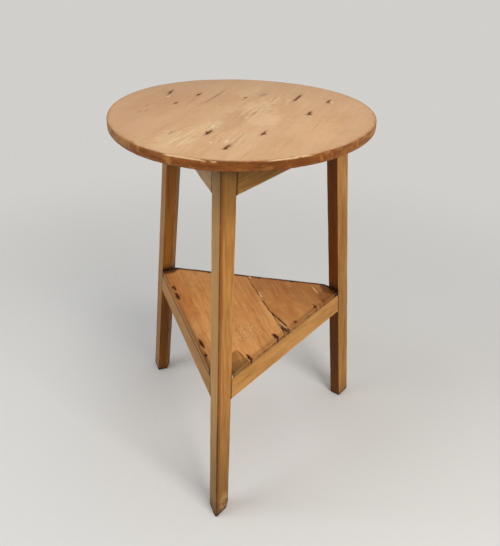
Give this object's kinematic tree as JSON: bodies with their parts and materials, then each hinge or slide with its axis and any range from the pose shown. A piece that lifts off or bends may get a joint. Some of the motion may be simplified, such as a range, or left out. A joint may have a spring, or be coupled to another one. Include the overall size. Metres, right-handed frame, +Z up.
{
  "type": "cricket table",
  "caption": "Rustic cricket table: round boarded top on splayed kite-section legs, joined by a triangular frieze and by rails that carry a nailed three-cornered shelf.",
  "frame": {"origin": "on the floor, below the middle of the whole table's bounding box", "axes": "+Z is up; -Y is the front, where the front leg stands; +X is the right, on the side of the right leg"},
  "size_m": [0.518, 0.5422, 0.73],
  "materials": {
    "leg_wood": "old waxed wood, warm brown, worn pale at the edges",
    "rail_wood": "old waxed wood, light yellow-brown to olive",
    "top_wood": "worn scrubbed wood, light tan, darker at the rim",
    "shelf_wood": "old waxed wood, orange-brown",
    "patch_wood": "old wood, darker brown",
    "nail_iron": "dark forged iron"
  },
  "bodies": {
    "root": {"front_leg": "leg_wood", "right_leg": "leg_wood", "left_leg": "leg_wood", "frieze_rail_front_right": "rail_wood", "shelf_rail_front_right": "rail_wood", "frieze_rail_back": "rail_wood", "shelf_rail_back": "rail_wood", "frieze_rail_front_left": "rail_wood", "shelf_rail_front_left": "rail_wood", "top_board_wide": "top_wood", "top_board_narrow": "top_wood", "shelf_board_wide": "shelf_wood", "shelf_board_right": "shelf_wood", "shelf_corner_patch": "patch_wood", "top_nail_1": "nail_iron", "top_nail_2": "nail_iron", "top_nail_3": "nail_iron", "top_nail_4": "nail_iron", "top_nail_5": "nail_iron", "top_nail_6": "nail_iron", "top_nail_7": "nail_iron", "top_nail_8": "nail_iron", "top_nail_9": "nail_iron", "top_nail_10": "nail_iron", "shelf_nail_1": "nail_iron", "shelf_nail_2": "nail_iron", "shelf_nail_3": "nail_iron", "shelf_nail_4": "nail_iron", "shelf_nail_5": "nail_iron", "shelf_nail_6": "nail_iron", "shelf_nail_7": "nail_iron", "shelf_nail_8": "nail_iron", "shelf_nail_9": "nail_iron", "shelf_nail_10": "nail_iron", "shelf_nail_11": "nail_iron"}
  },
  "joints": []
}
